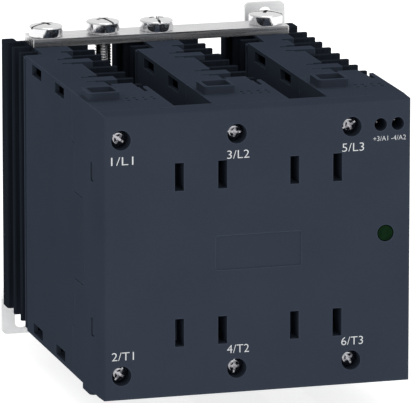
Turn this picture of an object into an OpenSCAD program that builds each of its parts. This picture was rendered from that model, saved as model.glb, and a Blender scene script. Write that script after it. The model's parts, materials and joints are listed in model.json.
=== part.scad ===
// Three-phase solid state relay: three relay modules side by side, each a plastic housing on its
// own finned heat sink, joined by one front cover, one earth bar and one rail mounting plate.
// Modules are drawn with the front face at y = 0 and the bottom of the plastic at z = 0.
// placed() then moves the origin to the middle of the rail seat on the back of the plate.

/* [Relay row] */
// Distance from one relay module to the next
module_pitch = 41.3; // [41:0.1:43]
// Width of one relay module
module_w = 27.4; // [27.2:0.1:28]
// Height of the plastic bodies
body_h = 101.2; // [100:0.2:104]
// Depth of the part of the cover that runs across all modules
cover_depth = 9.5; // [9.4:0.1:10]

/* [Heat sink] */
// Sawn length of each heat sink
sink_len = 98.7; // [97:0.1:98.8]
// Thickness of a fin
fin_t = 2.5; // [2:0.1:3]
// Thickness of the wall that carries the fins
spine_t = 4.5; // [4:0.1:5]

/* [Load terminals] */
// Distance of the load screws from the left side of their module
load_screw_x = 6.04; // [5.8:0.01:6.2]
// Distance of the load screws from the top or bottom end
load_screw_end = 9.1; // [9:0.01:9.3]
// Turns of a load screw from open to fully clamped
load_turns = 8; // [4:1:9]

/* [Control terminals] */
// Distance between the two control screws
control_gap = 6.2; // [6:0.1:6.4]
// Turns of a control screw from open to fully clamped
control_turns = 8; // [4:1:9]

/* [Earth bar] */
// Thickness of the earth bar
bar_t = 3; // [2.5:0.1:4]
// Width of the earth bar, front to back
bar_w = 13; // [12:0.1:13]

/* [Rail mount] */
// Thickness of the mounting plate
sheet_t = 2; // [1.6:0.1:2]
// Width of the rail that the plate hangs on
rail_w = 35; // [35:0.5:36]
// Thickness of the edges of that rail
rail_t = 1; // [0.8:0.1:1.2]
// How far the rail latch is pulled to let go of the rail
latch_travel = 4; // [3:0.5:4]

/* [Hidden] */
$fn = 48;
MODULES = [1, 2, 3];
SIDES = ["line", "load"];
CONTROLS = ["a1", "a2"];

row_w = 2 * module_pitch + module_w;
middle_z = body_h / 2;

// Radial clearance of a thread in its hole, and of a part beside a moving part
thread_gap = 0.05;
side_gap = 0.3;
// Seam between two plastic parts
seam = 0.3;

// Plastic shells; rib_y is the groove in front of the rib along each housing's rear edge
cover_t = 1.6;
panel_t = 2.2;
roof_t = 2;
front_drop = 0.4;
front_round = 1;
corner_round = 1.2;
leg_end = 43.1;
leg_right_end = 44;
back_wall_t = 1.6;
housing_t = 1.8;
housing_end = 110.2;
roof_end = 107.5;
rib_y = [106.4, 109.2];
tongue_round = 3;
// Right edge of the housing roof: [left x, right x, from y, to y]
ROOF_STEPS = [
    [0, 14.9, 43.1, 55.1], [0, 11.9, 55.1, 56.5], [0, 8.9, 56.5, 57.6], [0, 20.4, 57.6, 63.7],
    [0, 8.9, 63.7, 65.3], [0, 11.9, 65.3, 66.8], [0, 15.5, 66.8, 87.6], [0, 11.9, 87.6, 89],
    [0, 8.9, 89, 91.1], [0, 20.5, 91.1, 96.4], [0, 8.9, 96.4, 98.2], [0, 11.9, 98.2, 99.9],
    [0, 15.4, 99.9, roof_end], [6.6, 15.4, roof_end, 108.4], [6.6, 13.6, 108.4, 111.3],
    [6.6, 18.6, 111.3, 119.6]
];
// Part of the cover roof that reaches over the first fin: left x, right x, end y
ROOF_FLAP = [16.2, 23.7, 50.6];

// Wire entries, knock-outs and snap slots, all measured inside one module
collar_low = [1, 23];
collar_high = [12.1, 34.7];
entry_low = [2.3, 24.4];
entry_high = [11.2, 33.2];
collar_h = 3;
KNOCKOUTS = [[14.4, 18.4], [20.4, 24.6]];
knockout_y = [21.7, 26.8];
slot_half_w = 1.65;
slot_half_h = 4.95;
slot_end = 23.1;
slot_depth = 18.3;
slot_wall = 1.2;
left_slot_x = 0.91;
right_slot_x = module_w - 0.65;
snap_window = [14.5, 18.3];

// Heat sink section
spine_x = 9.5;
sink_top = body_h - 0.8;
sink_bottom = sink_top - sink_len;
FIN_YS = concat([for (k = [0:5]) 50.2 + 10.77 * k], [113, 122.9]);
LEFT_FIN_YS = [115.3, 125.4];
fin_round = 0.8;
spine_front = 46;
sink_back = 137.8;
pad_w = 4.5;
pad_back = 142.8;
BOSS = [9.5, 17.5];
block_low = [6.8, 117.5];
block_high = [19.2, 136.2];

// Earth bar
bar_x = [7.1, 103];
bar_y = 129.8;
bar_screw_x = 13.4;
earth_x = 34.6;
m6_r = 3;
pan_r = 6.15;
bar_screw_len = 12;
earth_screw_len = 25;
washer_t = 0.8;
pan_h = 4.6;

// Load clamps: the screw turns in place and draws the cage towards its head
load_hole_r = 3.5;
load_head_r = 3.05;
m4_r = 2;
head_y = [2.8, 5.7];
ledge_y = [6, 7.2];
screw_tip_y = 22.7;
contact_y = [23, 24.2];
contact_x = [3.2, 9];
cage_x = [1.9, 11.1];
cage_y = [13.5, 35.7];
cage_half_h = 5;
cage_wall = 1;
cage_nut_t = 3;
cage_back_t = 1.5;
shelf_z = 20;
shelf_t = 1.5;
partition_x = [11.5, 12.7];

// Control clamps, made the same way, in the third module
control_x = 98.99;
control_end = 8.94;
control_hole_r = 2.3;
control_head_r = 2.1;
m3_r = 1.5;
control_head_y = [6.5, 8.5];
control_ledge_y = [8.8, 9.6];
control_tip_y = 20.7;
strip_y = [21, 21.8];
strip_half_w = 1.5;
control_cage_half_w = 2.4;
control_cage_y = [13.9, 29.3];
control_cage_half_h = 3.25;
control_cage_wall = 0.6;
control_nut_t = 2;

// Boards and power modules
board_t = 1.6;
input_board_y = 5;
input_board_x = [4, 106];
input_board_z = [36, 66];
STAKES = [[20, 39], [20, 63], [90, 39], [90, 63]];
driver_board_x = 7.2;
driver_board_y = [10, 50];
driver_board_z = [shelf_z + shelf_t, body_h - shelf_z - shelf_t];
power_x = [3.9, 9.2];
power_y = [57, 99];
power_half_h = 21.25;
ear_y = [74, 84];
ear_h = 6;
led_x = 100.96;
led_z = 53.7;
led_r = 3;

// Mounting plate, hooks and latch
plate_y = pad_back;
seat_y = plate_y + sheet_t;
tab_back = seat_y + 6;
plate_mid_z = middle_z - 2.55;
plate_margin = 1;
plate_end = 8.5;
tab_w = 15.2;
tab_reach = 11.45;
tab_round = 2.1;
tab_slot_w = 5.2;
tab_slot_len = 7.5;
tab_slot_edge = 1.9;
HOOK_XS = [30, 80];
hook_w = 14;
hook_t = 1.6;
rail_gap = 0.35;
latch_half_w = 11;
latch_y = [seat_y + 0.2, seat_y + 3];
latch_bottom = -9;
spring_r = 2.1;
spring_z = [12, 28];
SPRING_XS = [row_w / 2 - 6.5, row_w / 2 + 6.5];
RIVET_ZS = [0, 8];
rivet_r = 2;
rivet_head_r = 3.5;
m4_head_r = 3.6;
// Plate screws: x of the module and z, the middle module has only the upper one
PLATE_SCREWS = [[0, 20], [0, 83], [1, 83], [2, 20], [2, 83]];
plate_screw_x = 13.5;

// Helpers
module placed() translate([-row_w / 2, -seat_y, -middle_z]) children();
module at_module(i) translate([i * module_pitch, 0, 0]) children();
module box(low, high) translate(low) cube(high - low);
module both_ends() {
    children();
    translate([0, 0, body_h]) mirror([0, 0, 1]) children();
}
module at_end(side) {
    if (side == "line") translate([0, 0, body_h]) mirror([0, 0, 1]) children();
    else children();
}
module along_x(x0, x1) translate([x0, 0, 0]) rotate([90, 0, 90]) linear_extrude(x1 - x0) children();
module along_y(y0, y1) translate([0, y1, 0]) rotate([90, 0, 0]) linear_extrude(y1 - y0) children();
module y_rod(r, y0, y1) translate([0, y0, 0]) rotate([-90, 0, 0]) cylinder(r = r, h = y1 - y0);
module x_rod(r, x0, x1) translate([x0, 0, 0]) rotate([0, 90, 0]) cylinder(r = r, h = x1 - x0);
module rect(low, high) translate(low) square(high - low);
module round_rect(low, high, r) {
    rect([low.x + r, low.y], [high.x - r, high.y]);
    rect([low.x, low.y + r], [high.x, high.y - r]);
    for (x = [low.x + r, high.x - r], y = [low.y + r, high.y - r]) translate([x, y]) circle(r);
}

// Screw head with a round edge and a cross recess, seat at z = 0, head upwards
module pan_head(r, h, edge, recess) {
    difference() {
        rotate_extrude() {
            rect([0, 0], [r, h - edge]);
            rect([0, 0], [r - edge, h]);
            intersection() {
                translate([r - edge, h - edge]) circle(edge);
                rect([0, 0], [r, h]);
            }
        }
        for (a = [0, 90]) rotate(a) box([-recess, -recess / 4, h / 2], [recess, recess / 4, h + 1]);
    }
}

// Housing side wall in the y-z plane, grown by a gap, with the tongue that reaches into the cover
module housing_side(gap) {
    rect([leg_end - gap, -1], [housing_end, body_h + 1]);
    rect([40.3 - gap, 17.9 - gap], [leg_end + 1, body_h - 17.9 + gap]);
    round_rect([27.1 - gap, 35.2 - gap], [60, body_h - 35.2 + gap], tongue_round + gap);
}

// Stepped roof of a housing, seen from above
module housing_roof(gap) {
    for (s = ROOF_STEPS) rect([s[0] - gap, s[2] - gap], [s[1] + gap, s[3] + gap]);
}

module cover_flap(gap) rect([ROOF_FLAP[0] - gap, 40], [ROOF_FLAP[1] + gap, ROOF_FLAP[2] + gap]);

// Roof of one leg of the cover, seen from above
module leg_roof() {
    difference() {
        rect([0, cover_depth - 2], [module_w, leg_end - seam]);
        rect([24.2, 35.5], [25.7, 50]);
    }
    cover_flap(0);
    rect([module_w - 1.4, cover_depth - 2], [module_w, leg_right_end]);
}

// Front of the cover with rounded edges, before it is hollowed
module front_slab() {
    intersection() {
        linear_extrude(body_h) {
            rect([0, corner_round], [row_w, cover_depth]);
            rect([corner_round, 0], [row_w - corner_round, cover_depth]);
            for (x = [corner_round, row_w - corner_round]) translate([x, corner_round]) circle(corner_round);
        }
        along_x(-1, row_w + 1) {
            polygon([
                [0, front_drop + front_round], [front_round, front_drop], [cover_depth, 0],
                [cover_depth, body_h], [front_round, body_h - front_drop],
                [0, body_h - front_drop - front_round]
            ]);
            for (z = [front_drop + front_round, body_h - front_drop - front_round])
                translate([front_round, z]) circle(front_round);
        }
    }
}

module snap_slots(grow, y0, y1) {
    for (i = [0:2], x = [left_slot_x, right_slot_x]) {
        outer_side = i == 0 && x == left_slot_x || i == 2 && x == right_slot_x;
        if (!outer_side) at_module(i) both_ends() {
            half_w = slot_half_w + grow;
            half_h = slot_half_h + grow;
            box([x - half_w, y0, slot_end - half_h], [x + half_w, y1, slot_end + half_h]);
        }
    }
}

// Four corner dashes around a knock-out
module knockout_dashes(x, y) {
    line_x = 0.9;
    line_y = 1.3;
    intersection() {
        difference() {
            rect([x[0], y[0]], [x[1], y[1]]);
            rect([x[0] + line_x, y[0] + line_y], [x[1] - line_x, y[1] - line_y]);
        }
        for (cx = x, cy = y) translate([cx, cy]) square([2.9, 3.8], center = true);
    }
}

module front_cover() {
    color("slategray") placed() difference() {
        union() {
            difference() {
                front_slab();
                box([cover_t, panel_t, roof_t],
                    [row_w - cover_t, cover_depth - back_wall_t, body_h - roof_t]);
                for (i = [0:2]) at_module(i)
                    box([cover_t, panel_t, roof_t], [module_w - 1.4, cover_depth + 1, body_h - roof_t]);
            }
            for (i = [0:2]) at_module(i) {
                cover_leg();
                both_ends() load_guides();
            }
            snap_slots(slot_wall, panel_t - 0.2, cover_depth);
            both_control_guides();
            for (p = STAKES) translate([p.x, 0, p.y]) {
                y_rod(2, panel_t - 0.2, input_board_y);
                y_rod(1, input_board_y - 0.2, input_board_y + board_t + 0.8);
            }
        }
        for (i = [0:2]) at_module(i) both_ends() load_openings(i);
        snap_slots(0, -1, slot_depth);
        at_module(0) both_ends() box([-1, snap_window[0], slot_end - 3.4],
            [cover_t + 0.5, snap_window[1], slot_end + 3.4]);
        at_module(2) both_ends() box([module_w - 2, snap_window[0], slot_end - 3.4],
            [module_w + 1, snap_window[1], slot_end + 3.4]);
        for (k = [0, 1]) at_control(k) {
            y_rod(control_hole_r, -1, control_ledge_y[0]);
            y_rod(m3_r + side_gap, 0, control_ledge_y[1] + 1);
        }
        translate([led_x, 0, led_z]) y_rod(led_r, -1, panel_t + 1);
        along_y(-1, 0.3) round_rect([39.8, 44.3], [70.5, 56.5], 0.8);
    }
}

module cover_leg() {
    wall_z = [0, body_h];
    difference() {
        box([0, cover_depth - 2, 0], [cover_t, leg_end - seam, body_h]);
        along_x(-1, cover_t + 1) housing_side(seam);
    }
    box([module_w - 1.4, cover_depth - 2, 0], [module_w, leg_right_end, body_h]);
    both_ends() {
        linear_extrude(roof_t) leg_roof();
        translate([0, 0, -collar_h]) linear_extrude(collar_h + 0.5) round_rect(collar_low, collar_high, 1.5);
    }
}

// Sleeve and ledge behind a load screw hole, shelf and partition beside its clamp
module load_guides() {
    translate([load_screw_x, 0, load_screw_end]) y_rod(load_hole_r + 1.1, panel_t - 0.2, ledge_y[1]);
    box([3.4, panel_t - 0.2, shelf_z], [partition_x[1], 42, shelf_z + shelf_t]);
    box([partition_x[0], panel_t - 0.2, roof_t - 0.2], [partition_x[1], 40, shelf_z + 0.2]);
}

module load_openings(i) {
    translate([load_screw_x, 0, load_screw_end]) {
        y_rod(load_hole_r, -1, ledge_y[0]);
        y_rod(m4_r + side_gap, 0, ledge_y[1] + 1);
    }
    translate([0, 0, -collar_h - 1]) linear_extrude(collar_h + roof_t + 2)
        round_rect(entry_low, entry_high, 0.8);
    translate([0, 0, -1]) linear_extrude(2.5) for (x = KNOCKOUTS) knockout_dashes(x, knockout_y);
}

module at_control(k) translate([control_x + k * control_gap, 0, body_h - control_end]) children();

module both_control_guides() {
    for (k = [0, 1]) at_control(k) y_rod(control_hole_r + 0.9, panel_t - 0.2, control_ledge_y[1]);
    wall_x = control_x + control_gap / 2;
    box([wall_x - 0.4, panel_t - 0.2, body_h - control_end - 7], [wall_x + 0.4, 31, body_h - roof_t + 0.2]);
}

module housing(i) {
    color("darkslateblue") placed() at_module(i) difference() {
        union() {
            both_ends() linear_extrude(roof_t) housing_roof(0);
            intersection() {
                along_x(0, housing_t) housing_side(0);
                box([-1, 0, 0], [20, 200, body_h]);
            }
            box([0, housing_end - 2, 0], [spine_x - 0.1, housing_end, body_h]);
            both_ends() housing_snap();
        }
        both_ends() for (y = [[53.6, 66.4], [85.1, 98.5]]) box([-1, y[0], 1.3], [3, y[1], 5.2]);
        both_ends() box([-1, roof_end, -1], [6.5, housing_end + 1, 0.8]);
        box([-1, rib_y[0], 1.3], [0.5, rib_y[1], body_h - 1.3]);
    }
}

// Arm that reaches forward inside the cover and hooks into its side window
module housing_snap() {
    low = slot_end - 3.1;
    high = slot_end + 3.1;
    box([cover_t + 0.1, 14.7, low], [3.1, leg_end + 2, high]);
    box([0.5, 14.7, low], [cover_t + 0.2, 18, high]);
}

module sink_section() {
    rect([spine_x, spine_front], [spine_x + spine_t, sink_back]);
    for (y = FIN_YS) round_rect([spine_x + 1, y], [module_w, y + fin_t], fin_round);
    for (y = LEFT_FIN_YS) round_rect([0, y], [spine_x + 1, y + fin_t], fin_round);
    rect(block_low, block_high);
    rect([1, sink_back - 2.5], [module_w - 1, sink_back]);
    round_rect([0, sink_back - 2.5], [pad_w, pad_back], fin_round);
    round_rect([module_w - pad_w, sink_back - 2.5], [module_w, pad_back], fin_round);
    rect([BOSS[0], sink_back - 2.5], [BOSS[1], pad_back]);
}

module heat_sink(i) {
    color("#262a33") placed() at_module(i) difference() {
        translate([0, 0, sink_bottom]) linear_extrude(sink_len) sink_section();
        both_ends() translate([0, 0, -1]) linear_extrude(roof_t + 1.1) {
            housing_roof(0.2);
            cover_flap(0.2);
        }
        translate([bar_screw_x, bar_y, sink_top - bar_screw_len - 2])
            cylinder(r = m6_r + thread_gap, h = bar_screw_len + 3);
        for (p = PLATE_SCREWS) if (p[0] == i)
            translate([plate_screw_x, 0, p[1]]) y_rod(m4_r + thread_gap, 131, pad_back + 1);
        both_ends() translate([0, 79, module_screw_end()]) x_rod(m3_r + thread_gap, spine_x - 1, 13.2);
    }
}

module earth_bar() {
    color("lightgray") placed() difference() {
        translate([0, 0, sink_top]) linear_extrude(bar_t)
            round_rect([bar_x[0], bar_y - bar_w / 2], [bar_x[1], bar_y + bar_w / 2], 0.3);
        for (i = [0:2]) at_module(i) translate([bar_screw_x, bar_y, sink_top - 1])
            cylinder(r = m6_r + side_gap, h = bar_t + 2);
        translate([earth_x, bar_y, sink_top - 1]) cylinder(r = m6_r + thread_gap, h = bar_t + 2);
    }
}

module bar_screws() {
    color("silver") placed() for (i = [0:2]) at_module(i) translate([bar_screw_x, bar_y, 0]) {
        translate([0, 0, sink_top + bar_t]) pan_head(pan_r, pan_h, 2, 3);
        translate([0, 0, sink_top - bar_screw_len]) cylinder(r = m6_r, h = bar_screw_len + bar_t + 0.5);
    }
}

module earth_washer() {
    color("gainsboro") placed() translate([earth_x, bar_y, sink_top + bar_t]) difference() {
        cylinder(r = pan_r - 0.7, h = washer_t);
        translate([0, 0, -1]) cylinder(r = m6_r + thread_gap, h = washer_t + 2);
    }
}

module earth_screw() {
    color("silver") placed() translate([earth_x, bar_y, sink_top + bar_t + washer_t]) {
        pan_head(pan_r, pan_h - 0.2, 2, 3);
        translate([0, 0, -earth_screw_len]) cylinder(r = m6_r, h = earth_screw_len + 0.5);
    }
}

// One tab in the y-z plane: down the plate, back to the panel plane, then straight down
module tab_side() {
    polygon([
        [plate_y, plate_end + 4], [seat_y, plate_end + 4], [seat_y, 8], [tab_back, 3],
        [tab_back, -tab_reach], [tab_back - sheet_t, -tab_reach], [tab_back - sheet_t, 2], [plate_y, 7]
    ]);
}

module plate_tab() {
    x0 = plate_margin;
    slot_x = x0 + tab_w / 2;
    slot_r = tab_slot_w / 2;
    slot_low = tab_slot_edge - tab_reach + slot_r;
    slot_high = slot_low + tab_slot_len - tab_slot_w;
    difference() {
        intersection() {
            along_x(x0, x0 + tab_w) tab_side();
            along_y(plate_y - 1, tab_back + 1) round_rect([x0, -tab_reach], [x0 + tab_w, 30], tab_round);
        }
        for (z = [slot_low, slot_high]) translate([slot_x, 0, z]) y_rod(slot_r, plate_y - 1, tab_back + 1);
        box([slot_x - slot_r, plate_y - 1, slot_low], [slot_x + slot_r, tab_back + 1, slot_high]);
    }
}

module mounting_plate() {
    hook_z = middle_z + rail_w / 2 + rail_gap;
    lip_y = seat_y + rail_t + rail_gap;
    color("darkgray") placed() difference() {
        union() {
            along_y(plate_y, seat_y)
                round_rect([plate_margin, plate_end],
                    [row_w - plate_margin, 2 * plate_mid_z - plate_end], tab_round);
            for (turn = [0, 180])
                translate([row_w / 2, 0, plate_mid_z]) rotate([0, turn, 0])
                    translate([-row_w / 2, 0, -plate_mid_z]) plate_tab();
            for (x = HOOK_XS) {
                box([x - hook_w / 2, seat_y - 0.5, hook_z], [x + hook_w / 2, lip_y + hook_t, hook_z + hook_t]);
                box([x - hook_w / 2, lip_y, hook_z - 2.6], [x + hook_w / 2, lip_y + hook_t, hook_z + hook_t]);
            }
        }
        for (x = HOOK_XS) box([x - hook_w / 2, plate_y - 1, hook_z + hook_t],
            [x + hook_w / 2, seat_y + 0.5, hook_z + hook_t + 5]);
        for (p = PLATE_SCREWS) at_module(p[0])
            translate([plate_screw_x, 0, p[1]]) y_rod(m4_r + side_gap, plate_y - 1, seat_y + 1);
        for (x = SPRING_XS) box([x - spring_r - side_gap, plate_y - 1, spring_z[0]],
            [x + spring_r + side_gap, seat_y + 1, spring_z[1] + 0.1]);
        for (z = RIVET_ZS) translate([row_w / 2, 0, z + plate_end + 2])
            y_rod(rivet_r + thread_gap, plate_y - 1, seat_y + 1);
    }
}

module plate_screws() {
    color("silver") placed() for (p = PLATE_SCREWS) at_module(p[0]) translate([plate_screw_x, 0, p[1]]) {
        y_rod(m4_r, 133, seat_y + 0.5);
        translate([0, seat_y, 0]) rotate([-90, 0, 0]) pan_head(m4_head_r, 2.2, 1, 1.8);
    }
}

module rail_latch() {
    mid = row_w / 2;
    rail_low = middle_z - rail_w / 2;
    top = rail_low - 0.25;
    lip_y = seat_y + rail_t + rail_gap;
    color("dimgray") placed() difference() {
        union() {
            box([mid - latch_half_w, latch_y[0], latch_bottom + 6], [mid + latch_half_w, latch_y[1], top]);
            box([mid - latch_half_w, lip_y, top - 1], [mid + latch_half_w, latch_y[1], rail_low + 2.6]);
            box([mid - 6, latch_y[0], latch_bottom], [mid + 6, latch_y[1], latch_bottom + 7]);
        }
        for (x = SPRING_XS) box([x - spring_r - side_gap, latch_y[0] - 1, spring_z[0] - 0.1],
            [x + spring_r + side_gap, latch_y[1] + 1, spring_z[1]]);
        for (z = RIVET_ZS) translate([mid, 0, z + plate_end + 2]) {
            slot_r = rivet_r + 0.15;
            y_rod(slot_r, latch_y[0] - 1, latch_y[1] + 1);
            translate([0, 0, latch_travel]) y_rod(slot_r, latch_y[0] - 1, latch_y[1] + 1);
            box([-slot_r, latch_y[0] - 1, 0], [slot_r, latch_y[1] + 1, latch_travel]);
        }
        box([mid - 3.5, latch_y[0] - 1, latch_bottom + 2.5], [mid + 3.5, latch_y[1] + 1, latch_bottom + 5]);
    }
}

module latch_rivets() {
    color("silver") placed() for (z = RIVET_ZS) translate([row_w / 2, 0, z + plate_end + 2]) {
        y_rod(rivet_r, plate_y, latch_y[1] + 0.5);
        y_rod(rivet_head_r, latch_y[1] + 0.1, latch_y[1] + 1);
    }
}

module latch_springs() {
    color("silver") placed() for (x = SPRING_XS) translate([x, seat_y, spring_z[0]]) difference() {
        cylinder(r = spring_r, h = spring_z[1] - spring_z[0]);
        translate([0, 0, -1]) cylinder(r = spring_r - 0.7, h = spring_z[1] - spring_z[0] + 2);
    }
}

module load_screw(side, i) {
    color("silver") placed() at_module(i) at_end(side) translate([load_screw_x, 0, load_screw_end]) {
        translate([0, head_y[1], 0]) rotate([90, 0, 0])
            pan_head(load_head_r, head_y[1] - head_y[0], 0.5, 2.3);
        y_rod(m4_r, head_y[1] - 0.5, screw_tip_y);
    }
}

module load_clamp(side, i) {
    z0 = load_screw_end - cage_half_h;
    z1 = load_screw_end + cage_half_h;
    color("gold") placed() at_module(i) at_end(side) difference() {
        box([cage_x[0], cage_y[0], z0], [cage_x[1], cage_y[1], z1]);
        box([cage_x[0] + cage_wall, cage_y[0] + cage_nut_t, z0 - 1],
            [cage_x[1] - cage_wall, cage_y[1] - cage_back_t, z1 + 1]);
        translate([load_screw_x, 0, load_screw_end])
            y_rod(m4_r + thread_gap, cage_y[0] - 1, cage_y[0] + cage_nut_t + 1);
    }
}

// Copper bar: contact plate inside the clamp, strip to the back, foot on the power module
module load_bar(side, i) {
    strip_z = 17.3;
    color("peru") placed() at_module(i) at_end(side) {
        box([contact_x[0], contact_y[0], 4], [contact_x[1], contact_y[1], strip_z + 1.2]);
        box([contact_x[0], contact_y[0], strip_z], [contact_x[1], 60, strip_z + 1.2]);
        box([contact_x[0] + 1, 58.8, strip_z], [contact_x[1] - 0.2, 60, middle_z - power_half_h]);
    }
}

function module_screw_end() = middle_z - power_half_h - ear_h / 2;

module power_module(i) {
    color("#1d1d1f") placed() at_module(i) difference() {
        union() {
            box([power_x[0], power_y[0], middle_z - power_half_h],
                [power_x[1], power_y[1], middle_z + power_half_h]);
            both_ends() box([power_x[1] - 3, ear_y[0], middle_z - power_half_h - ear_h],
                [power_x[1], ear_y[1], middle_z - power_half_h + 1]);
            for (z = [-6, 0, 6]) box([driver_board_x - 0.8, 46, middle_z + z - 0.5],
                [driver_board_x, power_y[0] + 1, middle_z + z + 0.5]);
        }
        both_ends() translate([0, 79, module_screw_end()]) x_rod(m3_r + 0.2, power_x[0] - 1, spine_x);
    }
}

module thermal_pad(i) {
    color("gainsboro") placed() at_module(i) difference() {
        box([power_x[1], power_y[0], middle_z - power_half_h - ear_h],
            [spine_x, power_y[1], middle_z + power_half_h + ear_h]);
        both_ends() translate([0, 79, module_screw_end()]) x_rod(m3_r + 0.2, power_x[0] - 1, spine_x + 1);
    }
}

module module_screws() {
    color("silver") placed() for (i = [0:2]) at_module(i) both_ends()
        translate([0, 79, module_screw_end()]) {
            x_rod(m3_r, power_x[1] - 3.5, 13);
            translate([power_x[1] - 3, 0, 0]) rotate([0, -90, 0]) pan_head(2.7, 2, 0.8, 1.5);
        }
}

module driver_board(i) {
    color("darkgreen") placed() at_module(i)
        box([driver_board_x, driver_board_y[0], driver_board_z[0]],
            [driver_board_x + board_t, driver_board_y[1] - 3.2, driver_board_z[1]]);
}

// Parts on the driver board: header, two couplers, snubber capacitor, varistor and resistors
module driver_parts(i) {
    face = driver_board_x + board_t;
    color("#33363c") placed() at_module(i) {
        box([face, input_board_y + board_t, middle_z - 7], [face + 5, 13, middle_z + 7]);
        for (z = [26, 68]) box([face, 14, z], [face + 3.6, 20.6, z + 8.8]);
        box([face, 24, 56], [face + 8, 42, 74]);
        translate([face, 33, 33]) {
            x_rod(6.5, 1, 5.5);
            for (y = [-3, 3]) translate([0, y, 0]) x_rod(0.4, 0, 1.5);
        }
        for (y = [25, 32, 39]) translate([face + 2.6, y, 43.5]) {
            cylinder(r = 2.1, h = 9);
            for (z = [-0.6, 8.9]) box([-2.6, -0.35, z], [0.35, 0.35, z + 0.7]);
        }
    }
}

module control_screw(k) {
    color("silver") placed() at_control(k) {
        translate([0, control_head_y[1], 0]) rotate([90, 0, 0])
            pan_head(control_head_r, control_head_y[1] - control_head_y[0], 0.4, 1.5);
        y_rod(m3_r, control_head_y[1] - 0.5, control_tip_y);
    }
}

module control_clamp(k) {
    inner = control_cage_half_w - control_cage_wall;
    color("gold") placed() at_control(k) difference() {
        box([-control_cage_half_w, control_cage_y[0], -control_cage_half_h],
            [control_cage_half_w, control_cage_y[1], control_cage_half_h]);
        box([-inner, control_cage_y[0] + control_nut_t, -control_cage_half_h - 1],
            [inner, control_cage_y[1] - 1, control_cage_half_h + 1]);
        y_rod(m3_r + thread_gap, control_cage_y[0] - 1, control_cage_y[0] + control_nut_t + 1);
    }
}

module control_contacts() {
    foot = 62 - (body_h - control_end);
    color("peru") placed() for (k = [0, 1]) at_control(k) {
        box([-strip_half_w, strip_y[0], foot], [strip_half_w, strip_y[1], 4]);
        box([-strip_half_w, input_board_y + board_t, foot], [strip_half_w, strip_y[1], foot + 0.8]);
    }
}

module input_board() {
    color("darkgreen") placed() difference() {
        box([input_board_x[0], input_board_y, input_board_z[0]],
            [input_board_x[1], input_board_y + board_t, input_board_z[1]]);
        for (p = STAKES) translate([p.x, 0, p.y])
            y_rod(1 + thread_gap, input_board_y - 1, input_board_y + board_t + 1);
    }
}

// Parts on the back of the input board: regulator, driver and a row of resistors
module input_parts() {
    face = input_board_y + board_t;
    color("#33363c") placed() {
        box([97, face, 42], [103.5, face + 2.3, 48.5]);
        for (x = [15.5, 57]) box([x, face, 41], [x + 6, face + 1.7, 47]);
        for (k = [0:4]) box([28 + 2.6 * k, face, 49], [29.6 + 2.6 * k, face + 0.6, 52.2]);
        for (k = [0:4]) box([69.5 + 2.6 * k, face, 49], [71.1 + 2.6 * k, face + 0.6, 52.2]);
    }
}

module indicator_led() {
    color("honeydew") placed() translate([led_x, 0, led_z])
        box([-1.75, input_board_y - 1.4, -1.5], [1.75, input_board_y, 1.5]);
}

module led_lens() {
    color("seagreen") placed() translate([led_x, 0, led_z]) {
        y_rod(led_r - 0.05, 0.15, panel_t + 0.2);
        y_rod(led_r + 0.7, panel_t, panel_t + 0.8);
    }
}

front_cover();
for (i = MODULES) {
    housing(i - 1);
    heat_sink(i - 1);
    power_module(i - 1);
    thermal_pad(i - 1);
    driver_board(i - 1);
    driver_parts(i - 1);
}
for (s = SIDES, i = MODULES) {
    load_screw(s, i - 1);
    load_clamp(s, i - 1);
    load_bar(s, i - 1);
}
for (k = [0, 1]) {
    control_screw(k);
    control_clamp(k);
}
earth_bar();
bar_screws();
earth_washer();
earth_screw();
mounting_plate();
plate_screws();
rail_latch();
latch_rivets();
latch_springs();
module_screws();
control_contacts();
input_board();
input_parts();
indicator_led();
led_lens();
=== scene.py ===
# Looks of the three-phase solid state relay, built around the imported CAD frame.
import json
import math
from collections import namedtuple

import bmesh
import bpy
from mathutils import Matrix, Vector


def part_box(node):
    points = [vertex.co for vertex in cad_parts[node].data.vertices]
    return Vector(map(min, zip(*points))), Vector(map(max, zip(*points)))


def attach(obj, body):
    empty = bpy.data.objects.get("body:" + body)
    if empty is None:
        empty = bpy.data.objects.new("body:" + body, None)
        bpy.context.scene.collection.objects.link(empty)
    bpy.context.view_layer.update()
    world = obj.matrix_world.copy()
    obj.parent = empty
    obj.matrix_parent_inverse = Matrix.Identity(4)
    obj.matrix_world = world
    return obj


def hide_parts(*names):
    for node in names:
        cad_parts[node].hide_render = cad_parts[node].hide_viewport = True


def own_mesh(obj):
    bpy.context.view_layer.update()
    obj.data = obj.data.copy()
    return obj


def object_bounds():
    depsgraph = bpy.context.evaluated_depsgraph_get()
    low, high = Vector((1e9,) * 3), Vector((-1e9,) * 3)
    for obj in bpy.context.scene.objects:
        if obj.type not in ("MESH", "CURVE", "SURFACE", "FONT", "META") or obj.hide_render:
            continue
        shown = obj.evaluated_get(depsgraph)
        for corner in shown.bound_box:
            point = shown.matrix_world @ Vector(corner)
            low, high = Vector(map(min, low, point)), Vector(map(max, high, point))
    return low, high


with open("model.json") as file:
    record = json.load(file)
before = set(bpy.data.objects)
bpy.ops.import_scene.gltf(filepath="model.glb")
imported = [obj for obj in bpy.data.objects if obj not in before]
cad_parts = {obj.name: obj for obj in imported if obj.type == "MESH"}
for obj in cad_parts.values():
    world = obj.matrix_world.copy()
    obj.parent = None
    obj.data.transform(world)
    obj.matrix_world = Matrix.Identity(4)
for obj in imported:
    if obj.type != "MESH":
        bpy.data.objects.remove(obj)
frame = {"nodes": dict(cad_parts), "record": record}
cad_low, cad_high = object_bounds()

MM = 0.001
MODULES = (1, 2, 3)
SIDES = ("line", "load")
RECORD = frame["record"]
SLOT_OF = {part["node"]: part["material_slot"] for part in RECORD["subparts"]}
BODY_OF = {node: body for body, nodes in RECORD["behaviour"]["bodies"].items() for node in nodes}
MOULDED_ROUNDING = 0.15 * MM
METAL_ROUNDING = 0.3 * MM
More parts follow.
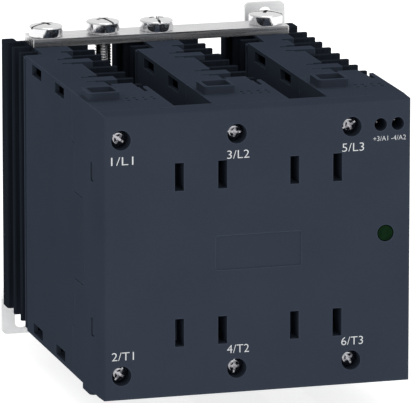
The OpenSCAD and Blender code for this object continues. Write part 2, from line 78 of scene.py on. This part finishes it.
FLOOR_GAP = 0.2 * MM
UP_TO_FRONT = Matrix.Rotation(math.radians(90), 4, "X")


# ---------------------------------------------------------------- camera, light and floor

def make_camera():
    """Long lens to the left of the front and a little above it, as in the photograph."""
    azimuth, elevation = math.radians(16.003), math.radians(12.804)
    distance = 2.20278
    target = Vector((-0.00445, -0.0948, 0.00653))
    back = Vector((
        -math.sin(azimuth) * math.cos(elevation),
        -math.cos(azimuth) * math.cos(elevation),
        math.sin(elevation),
    ))
    data = bpy.data.cameras.new("camera")
    data.sensor_width = 36
    data.lens = 546.94
    data.clip_start, data.clip_end = 0.1, 20
    camera = bpy.data.objects.new("camera", data)
    bpy.context.scene.collection.objects.link(camera)
    camera.location = target + back * distance
    camera.rotation_mode = "QUATERNION"
    camera.rotation_quaternion = (-back).to_track_quat("-Z", "Y")
    bpy.context.scene.camera = camera


def area_light(name, place, watts):
    """Square lamp aimed at the middle of the relay."""
    data = bpy.data.lights.new(name, "AREA")
    data.shape = "RECTANGLE"
    data.size, data.size_y = 0.9, 0.9
    data.energy = watts
    light = bpy.data.objects.new(name, data)
    bpy.context.scene.collection.objects.link(light)
    light.location = place
    light.rotation_mode = "QUATERNION"
    light.rotation_quaternion = (Vector((0, -0.07, 0)) - Vector(place)).to_track_quat("-Z", "Y")


def make_light():
    """White surround, dimmer on the left, and two broad lamps that lift the front and the top."""
    world = bpy.data.worlds.new("studio")
    world.use_nodes = True
    tree = world.node_tree
    direction = tree.nodes.new("ShaderNodeTexCoord")
    parts = tree.nodes.new("ShaderNodeSeparateXYZ")
    shade = tree.nodes.new("ShaderNodeMapRange")
    for key, value in (("From Min", -1.0), ("From Max", -0.1), ("To Min", 0.56), ("To Max", 0.90)):
        shade.inputs[key].default_value = value
    tree.links.new(direction.outputs["Generated"], parts.inputs["Vector"])
    tree.links.new(parts.outputs["X"], shade.inputs["Value"])
    tree.links.new(shade.outputs["Result"], tree.nodes["Background"].inputs["Strength"])
    tree.nodes["Background"].inputs["Color"].default_value = (1.0, 1.0, 1.0, 1.0)
    bpy.context.scene.world = world
    bpy.context.scene.view_settings.view_transform = "Standard"
    area_light("front", (0.35, -1.5, 0.55), 1.85)
    area_light("top", (0.1, -0.1, 1.3), 2.6)


def make_floor():
    """Wide pale floor just under the lowest tab."""
    size = 6.0
    mesh = bpy.data.meshes.new("floor")
    z = cad_low.z - FLOOR_GAP
    corners = [(-size, -size, z), (size, -size, z), (size, size, z), (-size, size, z)]
    mesh.from_pydata(corners, [], [(0, 1, 2, 3)])
    floor = bpy.data.objects.new("floor", mesh)
    bpy.context.scene.collection.objects.link(floor)
    floor.data.materials.append(floor_material())


# ---------------------------------------------------------------- materials

class Nodes:
    """Small helper that builds a material's node tree."""

    def __init__(self, name):
        self.material = bpy.data.materials.new(name)
        self.material.use_nodes = True
        self.tree = self.material.node_tree
        self.shader = self.tree.nodes["Principled BSDF"]

    def node(self, kind, inputs=None, **settings):
        made = self.tree.nodes.new(kind)
        for key, value in settings.items():
            setattr(made, key, value)
        for key, value in (inputs or {}).items():
            if isinstance(value, bpy.types.NodeSocket):
                self.tree.links.new(value, made.inputs[key])
            else:
                made.inputs[key].default_value = value
        return made

    def constant(self, **values):
        for key, value in values.items():
            self.shader.inputs[key.replace("_", " ")].default_value = value

    def link(self, socket, key):
        self.tree.links.new(socket, self.shader.inputs[key])

    def place(self, scale=(1, 1, 1)):
        """Object coordinates in millimetres, stretched by scale."""
        coordinates = self.node("ShaderNodeTexCoord").outputs["Object"]
        scaled = self.node("ShaderNodeMapping", {"Vector": coordinates})
        scaled.inputs["Scale"].default_value = [s / MM for s in scale]
        return scaled.outputs["Vector"]

    def noise(self, scale, detail, stretch=(1, 1, 1)):
        return self.node(
            "ShaderNodeTexNoise", {"Vector": self.place(stretch), "Scale": scale, "Detail": detail}
        ).outputs["Fac"]

    def spread(self, value, low, high):
        """The middle of a noise value's range spread from low to high."""
        limits = {"Value": value, "From Min": 0.3, "From Max": 0.7, "To Min": low, "To Max": high}
        return self.node("ShaderNodeMapRange", limits).outputs["Result"]

    def mix(self, factor, a, b):
        made = self.node("ShaderNodeMix", {"Factor": factor}, data_type="RGBA")
        for key, value in (("A", a), ("B", b)):
            socket = next(s for s in made.inputs if s.name == key and s.type == "RGBA")
            if isinstance(value, bpy.types.NodeSocket):
                self.tree.links.new(value, socket)
            else:
                socket.default_value = (*value, 1.0)
        return next(s for s in made.outputs if s.type == "RGBA")

    def edge(self, radius, gain):
        """0 on flat faces and up to 1 along sharp edges, where the finishes paint a highlight."""
        bevel = self.node("ShaderNodeBevel", {"Radius": radius}, samples=4).outputs["Normal"]
        flat = self.node("ShaderNodeNewGeometry").outputs["Normal"]
        product = self.node("ShaderNodeVectorMath", {0: bevel, 1: flat}, operation="DOT_PRODUCT")
        along = product.outputs["Value"]
        away = self.node("ShaderNodeMath", {0: 1.0, 1: along}, operation="SUBTRACT").outputs["Value"]
        return self.node(
            "ShaderNodeMath", {0: away, 1: gain}, operation="MULTIPLY", use_clamp=True
        ).outputs["Value"]

    def bump(self, height, distance, strength):
        settings = {"Height": height, "Distance": distance, "Strength": strength}
        made = self.node("ShaderNodeBump", settings)
        self.link(made.outputs["Normal"], "Normal")


def floor_material():
    """Pale studio floor that glows, so that the part's own shade stays faint on it."""
    m = Nodes("pale_floor")
    tone = m.node("ShaderNodeTexNoise", {"Scale": 3.0, "Detail": 2.0}).outputs["Fac"]
    m.link(m.mix(tone, (0.55, 0.55, 0.55), (0.58, 0.58, 0.58)), "Base Color")
    m.constant(Roughness=0.9, Specular_IOR_Level=0.0)
    m.constant(Emission_Color=(1, 1, 1, 1), Emission_Strength=0.80)
    return m.material


def moulded_plastic(name, dark, light, roughness):
    """Spark-eroded moulded plastic: fine grain, slight tone drift, and a painted highlight that makes
    its edges lighter.
    """
    m = Nodes(name)
    drift = m.spread(m.noise(0.035, 2.0), 0.0, 1.0)
    speck = m.spread(m.noise(2.2, 2.0), 0.0, 0.3)
    body = m.mix(drift, dark, light)
    body = m.mix(speck, body, [c * 1.25 for c in light])
    # painted highlight: edges are mixed towards a lighter colour, standing in for the light their
    # rounding catches
    edge_highlight = [min(1.0, c * 2.0 + 0.006) for c in light]
    m.link(m.mix(m.edge(0.45 * MM, 2.5), body, edge_highlight), "Base Color")
    m.link(m.spread(m.noise(0.12, 4.0), roughness - 0.06, roughness + 0.06), "Roughness")
    m.constant(Specular_IOR_Level=0.0)
    m.bump(m.noise(3.2, 4.0), 0.02 * MM, 0.35)
    return m.material


def anodised_aluminium():
    """Black anodised extrusion with die lines along its length and a painted highlight that lightens
    its edges.
    """
    m = Nodes("black_anodised")
    lines = m.noise(2.5, 3.0, (1, 1, 0.012))
    body = m.mix(m.spread(lines, 0.0, 1.0), (0.0085, 0.0108, 0.0155), (0.0150, 0.0188, 0.0265))
    # painted highlight: edges are mixed towards a lighter slate colour
    m.link(m.mix(m.edge(0.3 * MM, 1.2), body, (0.030, 0.036, 0.048)), "Base Color")
    m.link(m.spread(m.noise(0.25, 4.0), 0.42, 0.56), "Roughness")
    m.constant(Specular_IOR_Level=0.0)
    m.bump(lines, 0.03 * MM, 0.5)
    return m.material


def plated_metal(name, colour, roughness, stretch=(1, 1, 1), metallic=1.0):
    """Bright plating over drawn or rolled metal, with fine grain and faint smears."""
    m = Nodes(name)
    fine = m.noise(1.2, 4.0, stretch)
    smear = m.spread(m.noise(0.09, 3.0), 0.0, 1.0)
    m.link(m.mix(smear, [c * 0.90 for c in colour], colour), "Base Color")
    m.link(m.spread(fine, roughness * 0.75, roughness * 1.35), "Roughness")
    m.constant(Metallic=metallic)
    m.bump(fine, 0.006 * MM, 0.4)
    return m.material


def glossy_resin(name, colour, roughness=0.25):
    """Cast or moulded resin with a faint swirl in its colour."""
    m = Nodes(name)
    swirl = m.spread(m.noise(0.3, 4.0), 0.0, 1.0)
    m.link(m.mix(swirl, [c * 0.8 for c in colour], [min(1.0, c * 1.25) for c in colour]), "Base Color")
    m.link(m.spread(m.noise(0.8, 3.0), roughness * 0.7, roughness * 1.3), "Roughness")
    m.bump(m.noise(1.5, 2.0), 0.01 * MM, 0.3)
    return m.material


def board_laminate():
    """Green solder mask with copper tracks faintly showing under it."""
    m = Nodes("board_laminate")
    tracks = m.node(
        "ShaderNodeTexBrick",
        {"Vector": m.place(), "Scale": 0.25, "Mortar Size": 0.02, "Color1": (0, 0, 0, 1),
         "Color2": (0.1, 0.1, 0.1, 1), "Mortar": (1, 1, 1, 1)},
    ).outputs["Fac"]
    weave = m.spread(m.noise(1.8, 2.0), 0.0, 0.5)
    mask = m.mix(weave, (0.008, 0.075, 0.030), (0.012, 0.11, 0.045))
    m.link(m.mix(tracks, mask, (0.05, 0.20, 0.07)), "Base Color")
    m.constant(Roughness=0.3, Coat_Weight=0.4)
    m.bump(tracks, 0.02 * MM, 0.4)
    return m.material


def green_lens():
    """Dark green tinted lens that is almost black until the light is on."""
    m = Nodes("green_lens")
    depth = m.spread(m.noise(0.6, 2.0), 0.0, 1.0)
    m.link(m.mix(depth, (0.0032, 0.0135, 0.0046), (0.0055, 0.0200, 0.0075)), "Base Color")
    m.constant(Roughness=0.3, Specular_IOR_Level=0.01)
    m.bump(m.noise(0.9, 2.0), 0.01 * MM, 0.2)
    return m.material


def printed_mark():
    """Pale pad print with slightly uneven ink."""
    m = Nodes("pad_print")
    worn = m.spread(m.noise(4.0, 3.0), 0.0, 1.0)
    m.link(m.mix(worn, (0.55, 0.56, 0.58), (0.66, 0.67, 0.68)), "Base Color")
    m.constant(Roughness=0.6, Specular_IOR_Level=0.1)
    m.bump(m.noise(5.0, 2.0), 0.005 * MM, 0.3)
    return m.material


def make_materials():
    """Every finish by the material slot or the visual detail that it is for."""
    along_x, rolled, upright = (0.02, 1, 1), (0.05, 1, 1), (1, 1, 0.05)
    return {
        "cover_plastic": moulded_plastic(
            "slate_cover", (0.0295, 0.0370, 0.0525), (0.0325, 0.0410, 0.0580), 0.6
        ),
        "housing_plastic": moulded_plastic(
            "slate_housing", (0.0280, 0.0360, 0.0508), (0.0310, 0.0396, 0.0560), 0.6
        ),
        "pad_silicone": moulded_plastic("pad_silicone", (0.52, 0.53, 0.55), (0.58, 0.59, 0.60), 0.75),
        "sink_aluminium": anodised_aluminium(),
        "bar_plating": plated_metal("nickel_bar", (0.69, 0.69, 0.70), 0.25, along_x),
        "plate_steel": plated_metal("zinc_plate", (0.92, 0.925, 0.93), 0.5, rolled, metallic=0.5),
        "washer_steel": plated_metal("zinc_washer", (0.70, 0.70, 0.72), 0.25),
        "screw_steel": plated_metal("zinc_screw", (0.80, 0.80, 0.81), 0.12),
        "thread_steel": plated_metal("thread_steel", (0.20, 0.19, 0.18), 0.3),
        "clamp_screw_steel": plated_metal("clamp_screw", (0.40, 0.40, 0.42), 0.16),
        "latch_steel": plated_metal("zinc_latch", (0.72, 0.73, 0.76), 0.28, upright),
        "spring_steel": plated_metal("spring_wire", (0.52, 0.52, 0.54), 0.22),
        "clamp_brass": plated_metal("clamp_brass", (0.78, 0.64, 0.36), 0.28),
        "contact_copper": plated_metal("contact_copper", (0.85, 0.50, 0.33), 0.26),
        "module_resin": glossy_resin("module_resin", (0.010, 0.010, 0.011)),
        "parts_resin": glossy_resin("parts_resin", (0.014, 0.014, 0.015), 0.45),
        "led_resin": glossy_resin("led_resin", (0.70, 0.76, 0.68), 0.15),
        "board_laminate": board_laminate(),
        "lens_green": green_lens(),
        "pad_print": printed_mark(),
    }


# ---------------------------------------------------------------- meshes

def add_piece(name, mesh, node, finishes=(), replaces=True):
    """Links a mesh as a piece that rides on the body of a CAD node and, if asked, stands for it."""
    made = bpy.data.objects.new(name, mesh)
    bpy.context.scene.collection.objects.link(made)
    made.data.materials.clear()
    for finish in finishes or (SLOT_OF[node],):
        made.data.materials.append(materials[finish])
    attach(made, BODY_OF[node])
    if replaces:
        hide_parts(node)
    return made


def to_mesh(name, shape):
    """Turns a bmesh into a mesh and frees it."""
    data = bpy.data.meshes.new(name)
    shape.to_mesh(data)
    shape.free()
    return data


def finish_shading(mesh, sharp):
    """Smooth shading that stays crisp at edges sharper than the angle."""
    limit = math.radians(sharp)
    for face in mesh.faces:
        face.smooth = True
    for edge in mesh.edges:
        edge.smooth = edge.is_manifold and edge.calc_face_angle(0.0) < limit


def welded(node):
    """A CAD node's own shape with its doubled corners merged."""
    mesh = bmesh.new()
    mesh.from_mesh(frame["nodes"][node].data)
    bmesh.ops.remove_doubles(mesh, verts=mesh.verts, dist=1e-6)
    return mesh


def round_edges(node, width):
    """A CAD node's own shape with its sharp edges rounded, apart from those beside a small face.

    Short edges are the chords of round holes and corners, so they are rounded whatever is beside them.
    """
    mesh = welded(node)
    bmesh.ops.dissolve_limit(
        mesh, angle_limit=math.radians(0.5), use_dissolve_boundaries=False,
        verts=mesh.verts, edges=mesh.edges,
    )
    sharp, short, small_face = math.radians(38), 0.65 * MM, (1.9 * MM) ** 2
    edges = [
        e for e in mesh.edges
        if e.is_manifold and e.calc_face_angle(0.0) > sharp
        and (e.calc_length() < short or min(f.calc_area() for f in e.link_faces) > small_face)
    ]
    bmesh.ops.bevel(
        mesh, geom=edges, offset=width, segments=2, profile=0.5, affect="EDGES", clamp_overlap=True
    )
    finish_shading(mesh, 40)
    made = add_piece(node + "_shown", to_mesh(node + "_shown", mesh), node)
    weighted = made.modifiers.new("weighted_normals", "WEIGHTED_NORMAL")
    weighted.keep_sharp = True


def solids(node):
    """Lowest and highest corner of each separate solid in a CAD node, left to right and upwards."""
    mesh = welded(node)
    seen, boxes = set(), []
    for start in mesh.verts:
        if start in seen:
            continue
        seen.add(start)
        group, waiting = [], [start]
        while waiting:
            vert = waiting.pop()
            group.append(vert.co.copy())
            for edge in vert.link_edges:
                other = edge.other_vert(vert)
                if other not in seen:
                    seen.add(other)
                    waiting.append(other)
        low, high = (Vector([pick(c[k] for c in group) for k in range(3)]) for pick in (min, max))
        boxes.append((low, high))
    mesh.free()
    return sorted(boxes, key=lambda b: (round(b[0].x, 5), round(b[0].z, 5)))


def lathe(points, segments):
    """Solid of revolution about Z through (radius, height) points, bottom first, ends on the axis."""
    shape = bmesh.new()
    turn = [2 * math.pi * k / segments for k in range(segments)]
    rings = []
    for radius, height in points:
        if radius == 0:
            ring = [(0, 0, height)]
        else:
            ring = [(radius * math.cos(a), radius * math.sin(a), height) for a in turn]
        rings.append([shape.verts.new(place) for place in ring])
    for low, high in zip(rings, rings[1:]):
        for k in range(segments):
            after = (k + 1) % segments
            corners = (
                low[k % len(low)], low[after % len(low)], high[after % len(high)], high[k % len(high)]
            )
            shape.faces.new(list(dict.fromkeys(corners)))
    return shape


def block(size, centre):
    """Box of the given size about a point."""
    shape = bmesh.new()
    bmesh.ops.create_cube(shape, size=1.0)
    bmesh.ops.scale(shape, vec=size, verts=shape.verts)
    bmesh.ops.translate(shape, vec=centre, verts=shape.verts)
    return shape


def carve(shape, cutters):
    """Cuts each cutter out of a closed shape and returns the result as a bmesh."""
    scene = bpy.context.scene
    base = bpy.data.objects.new("base", to_mesh("base", shape))
    scene.collection.objects.link(base)
    helpers = [base]
    for number, cutter in enumerate(cutters):
        tool = bpy.data.objects.new(f"cutter_{number}", to_mesh(f"cutter_{number}", cutter))
        scene.collection.objects.link(tool)
        helpers.append(tool)
        cut = base.modifiers.new(tool.name, "BOOLEAN")
        cut.operation, cut.solver, cut.object = "DIFFERENCE", "EXACT", tool
    bpy.context.view_layer.update()
    result = bmesh.new()
    result.from_object(base, bpy.context.evaluated_depsgraph_get())
    for helper in helpers:
        data = helper.data
        bpy.data.objects.remove(helper)
        bpy.data.meshes.remove(data)
    return result


def pan_head_shape(radius, height, recess, slotted, rim_share, dome_share):
    """Pan head seated on z = 0 with a cross recess and, if slotted, a slot across it."""
    rim, dome = height * rim_share, height * dome_share
    flat = radius - rim
    chamfer = 0.04 * radius
    points = [(0, 0), (radius - chamfer, 0), (radius, chamfer)]
    for k in range(9):
        angle = math.radians(90 * k / 8)
        points.append((flat + rim * math.cos(angle), height - dome - rim + rim * math.sin(angle)))
    points += [(flat * f, height - dome * f * f) for f in (0.75, 0.5, 0.25, 0)]
    arm, depth = recess * 0.24, height * 0.62
    slot_width, slot_depth = 1.5 * arm, 0.35 * height
    cutters = [
        block((2 * recess, 2 * arm, 2 * depth), (0, 0, height)),
        block((2 * arm, 2 * recess, 2 * depth), (0, 0, height)),
    ]
    if slotted:
        cutters.append(block((2.2 * radius, slot_width, 2 * slot_depth), (0, 0, height)))
    head = carve(lathe(points, 64), cutters)
    bmesh.ops.remove_doubles(head, verts=head.verts, dist=1e-7)
    return head


def thread_shape(radius, pitch, bottom, top):
    """Right-handed thread as one closed rod, from bottom to top along Z, with a chamfered tip."""
    around, per_turn, tip_slope = 36, 8, 1.2
    depth = 0.5 * pitch
    rows = max(2, round((top - bottom) / pitch * per_turn))
    shape = bmesh.new()
    grid = []
    for row in range(rows + 1):
        z = bottom + (top - bottom) * row / rows
        ring = []
        for k in range(around):
            phase = (z / pitch - k / around) % 1.0
            # 0 along the crest, 1 along the root, and a straight flank between them
            cut = min(1.0, max(0.0, abs(2 * phase - 1) * 1.5 - 0.35))
            size = min(radius - depth * cut, radius - depth + (z - bottom) * tip_slope)
            angle = 2 * math.pi * k / around
            ring.append(shape.verts.new((size * math.cos(angle), size * math.sin(angle), z)))
        grid.append(ring)
    for low, high in zip(grid, grid[1:]):
        for k in range(around):
            after = (k + 1) % around
            shape.faces.new((low[k], low[after], high[after], high[k]))
    shape.faces.new(list(reversed(grid[0])))
    shape.faces.new(grid[-1])
    return shape


def join(shapes):
    """One bmesh holding a copy of every mesh, each moved by its own matrix."""
    whole = bmesh.new()
    for mesh, move in shapes:
        part = bmesh.new()
        part.from_mesh(mesh)
        part.transform(move)
        data = to_mesh("part", part)
        whole.from_mesh(data)
        bpy.data.meshes.remove(data)
    return whole


# Lengths are in mm, and the cross reaches that far out from the head's middle. The two shares are the
# parts of the head's height that its rounded rim and its dome take.
ScrewKind = namedtuple(
    "ScrewKind", "thread_radius pitch head_height cross_reach slotted rim_share dome_share finish"
)
SCREW_KINDS = {
    "m6_bar": ScrewKind(3.0, 1.0, 4.6, 2.6, True, 0.14, 0.16, "screw_steel"),
    "m6_earth": ScrewKind(3.0, 1.0, 4.4, 2.6, True, 0.14, 0.16, "screw_steel"),
    "m4_clamp": ScrewKind(2.0, 0.7, 2.9, 1.7, True, 0.5, 0.24, "clamp_screw_steel"),
    "m4_plate": ScrewKind(2.0, 0.7, 2.2, 1.8, False, 0.5, 0.1, "screw_steel"),
    "m3_clamp": ScrewKind(1.5, 0.5, 2.0, 1.2, True, 0.5, 0.24, "clamp_screw_steel"),
    "m3_module": ScrewKind(1.5, 0.5, 2.0, 1.4, False, 0.5, 0.1, "screw_steel"),
}


def screw_mesh(kind, box, axis):
    """A whole screw as long as its CAD box along the axis, with its head's seat at z = 0."""
    size = box[1] - box[0]
    height = kind.head_height * MM
    head_radius = max(size[k] for k in range(3) if k != axis) / 2
    head = pan_head_shape(
        head_radius, height, kind.cross_reach * MM, kind.slotted, kind.rim_share, kind.dome_share
    )
    thread_play, into_head = 0.995, 0.3 * MM
    rod = thread_shape(
        kind.thread_radius * MM * thread_play, kind.pitch * MM, height - size[axis], into_head
    )
    for face in rod.faces:
        face.material_index = 1
    meshes = [to_mesh("head", head), to_mesh("rod", rod)]
    both = join([(mesh, Matrix()) for mesh in meshes])
    finish_shading(both, 32)
    for mesh in meshes:
        bpy.data.meshes.remove(mesh)
    return to_mesh("screw", both)


def place_screws(node, kind, axis, sign, twist):
    """Stands real screws in the place of a CAD node's plain ones, each turned a little differently."""
    boxes = solids(node)
    mesh = screw_mesh(kind, boxes[0], axis)
    height = kind.head_height * MM
    towards = Vector([sign if k == axis else 0 for k in range(3)])
    turn = Vector((0, 0, 1)).rotation_difference(towards).to_matrix().to_4x4()
    placed = []
    for number, (low, high) in enumerate(boxes):
        seat = (low + high) / 2
        seat[axis] = (high[axis] - height) if sign > 0 else (low[axis] + height)
        own = Matrix.Rotation(math.radians(twist + 67 * number), 4, "Z")
        placed.append((mesh, Matrix.Translation(seat) @ turn @ own))
    whole = to_mesh(node + "_shown", join(placed))
    add_piece(node + "_shown", whole, node, (kind.finish, "thread_steel"))
    bpy.data.meshes.remove(mesh)


def coil_shape(low, high, wire):
    """Compression spring that fills a box, with its end turns closer together than the middle ones."""
    turns, steps, around, closing = 8.5, 24, 8, 0.055
    radius = (high.x - low.x) / 2 - wire
    travel = high.z - low.z - 2 * wire
    centre = (low + high) / 2
    count = round(turns * steps)
    shape = bmesh.new()
    rings = []
    for k in range(count + 1):
        share = k / count
        rise = share - closing * math.sin(2 * math.pi * share)
        angle = 2 * math.pi * turns * share
        out = Vector((math.cos(angle), math.sin(angle), 0))
        middle = Vector((centre.x, centre.y, low.z + wire + travel * rise)) + out * radius
        ring = []
        for j in range(around):
            a = 2 * math.pi * j / around
            across, upward = wire * math.cos(a), wire * math.sin(a)
            ring.append(shape.verts.new(middle + out * across + Vector((0, 0, upward))))
        rings.append(ring)
    for a, b in zip(rings, rings[1:]):
        for j in range(around):
            after = (j + 1) % around
            shape.faces.new((a[j], b[j], b[after], a[after]))
    shape.faces.new(rings[0])
    shape.faces.new(list(reversed(rings[-1])))
    bmesh.ops.recalc_face_normals(shape, faces=shape.faces)
    return shape


def make_springs():
    """The latch's two springs, each a fixed coil filling its CAD box; nothing here shortens them as
    the latch slides.
    """
    boxes = solids("latch_springs")
    wire_radius = 0.35 * MM
    coils = [to_mesh("coil", coil_shape(low, high, wire_radius)) for low, high in boxes]
    whole = join([(coil, Matrix()) for coil in coils])
    finish_shading(whole, 60)
    made = add_piece("latch_springs_shown", to_mesh("latch_springs_shown", whole), "latch_springs")
    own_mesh(made)


def make_lens():
    """Domed light lens: stem through the cover, shallow dome in front, flange behind."""
    low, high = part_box("led_lens")
    length, flange = high[1] - low[1], (high[0] - low[0]) / 2
    flange_depth, rim, dome = 0.8 * MM, 0.45 * MM, 0.275 * MM
    stem, well = flange - 0.75 * MM, length - 0.3 * MM
    points = [(0, 0), (flange, 0), (flange, flange_depth), (stem, flange_depth), (stem, length - rim)]
    for k in range(1, 7):
        angle = math.radians(90 * k / 6)
        points.append((stem - rim + rim * math.cos(angle) * 0.5, length - rim + rim * math.sin(angle)))
    inner = stem - rim * 1.6
    points += [(inner * f, well + dome * (1 - f * f)) for f in (1, 0.75, 0.5, 0.25, 0)]
    shape = lathe(points, 48)
    back = Vector(((low[0] + high[0]) / 2, high[1], (low[2] + high[2]) / 2))
    shape.transform(Matrix.Translation(back) @ UP_TO_FRONT)
    finish_shading(shape, 50)
    add_piece("led_lens_shown", to_mesh("led_lens_shown", shape), "led_lens")


# ---------------------------------------------------------------- printed marks

def mark(name, words, centre, height, width):
    """Thin printed words on the front of the cover, centred on a point of its front face."""
    curve = bpy.data.curves.new(name, "FONT")
    curve.body = words
    curve.align_x, curve.align_y = "CENTER", "CENTER"
    curve.extrude = 0.01
    curve.offset = -0.008
    curve.resolution_u = 3
    helper = bpy.data.objects.new(name + "_curve", curve)
    bpy.context.scene.collection.objects.link(helper)
    bpy.context.view_layer.update()
    shown = helper.evaluated_get(bpy.context.evaluated_depsgraph_get())
    data = bpy.data.meshes.new_from_object(shown)
    bpy.data.objects.remove(helper)
    bpy.data.curves.remove(curve)
    xs, ys = [v.co.x for v in data.vertices], [v.co.y for v in data.vertices]
    across, upward, depth = width / (max(xs) - min(xs)), height / (max(ys) - min(ys)), 1.5 * MM
    middle = Vector(((max(xs) + min(xs)) / 2, (max(ys) + min(ys)) / 2, 0))
    scale = Matrix.Diagonal((across, upward, depth, 1))
    data.transform(Matrix.Translation(centre) @ UP_TO_FRONT @ scale @ Matrix.Translation(-middle))
    add_piece(name, data, "front_cover", ("pad_print",), replaces=False)


def make_marks():
    """The usual numbers beside the terminals of a three-pole relay."""
    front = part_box("front_cover")[0][1]
    load_height, load_width = 2.9 * MM, 7.9 * MM
    control_height, control_width = 1.7 * MM, 5.3 * MM
    for side, drop, letter in (("line", -7.2, "L"), ("load", 7.0, "T")):
        for number in MODULES:
            low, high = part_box(f"{side}_screw_{number}")
            x, z = (low[0] + high[0]) / 2, (low[2] + high[2]) / 2
            first = 2 * number - (1 if side == "line" else 0)
            centre = (x + 0.4 * MM, front, z + drop * MM)
            words = f"{first}/{letter}{number}"
            mark(f"mark_{side}_{number}", words, centre, load_height, load_width)
    for name, words, shift in (("a1", "+3/A1", 0.0), ("a2", "-4/A2", 0.3)):
        low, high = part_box(f"control_screw_{name}")
        centre = ((low[0] + high[0]) / 2 + shift * MM, front, (low[2] + high[2]) / 2 - 4.9 * MM)
        mark(f"mark_{name}", words, centre, control_height, control_width)


# ---------------------------------------------------------------- build

def build():
    """Every CAD node's shown shape, and the printed marks."""
    screws = {
        "bar_screws": ("m6_bar", 2, 1),
        "earth_screw": ("m6_earth", 2, 1),
        "plate_screws": ("m4_plate", 1, 1),
        "module_screws": ("m3_module", 0, -1),
    }
    for side in SIDES:
        for number in MODULES:
            screws[f"{side}_screw_{number}"] = ("m4_clamp", 1, -1)
    for name in ("a1", "a2"):
        screws[f"control_screw_{name}"] = ("m3_clamp", 1, -1)
    for count, (node, (kind, axis, sign)) in enumerate(sorted(screws.items())):
        place_screws(node, SCREW_KINDS[kind], axis, sign, 20 + 31 * count)
    for node in sorted(set(frame["nodes"]) - {"latch_springs", "led_lens"} - set(screws)):
        moulded = node == "front_cover" or node.startswith("housing")
        round_edges(node, MOULDED_ROUNDING if moulded else METAL_ROUNDING)
    make_springs()
    make_lens()
    make_marks()


materials = make_materials()
make_camera()
make_light()
make_floor()
build()
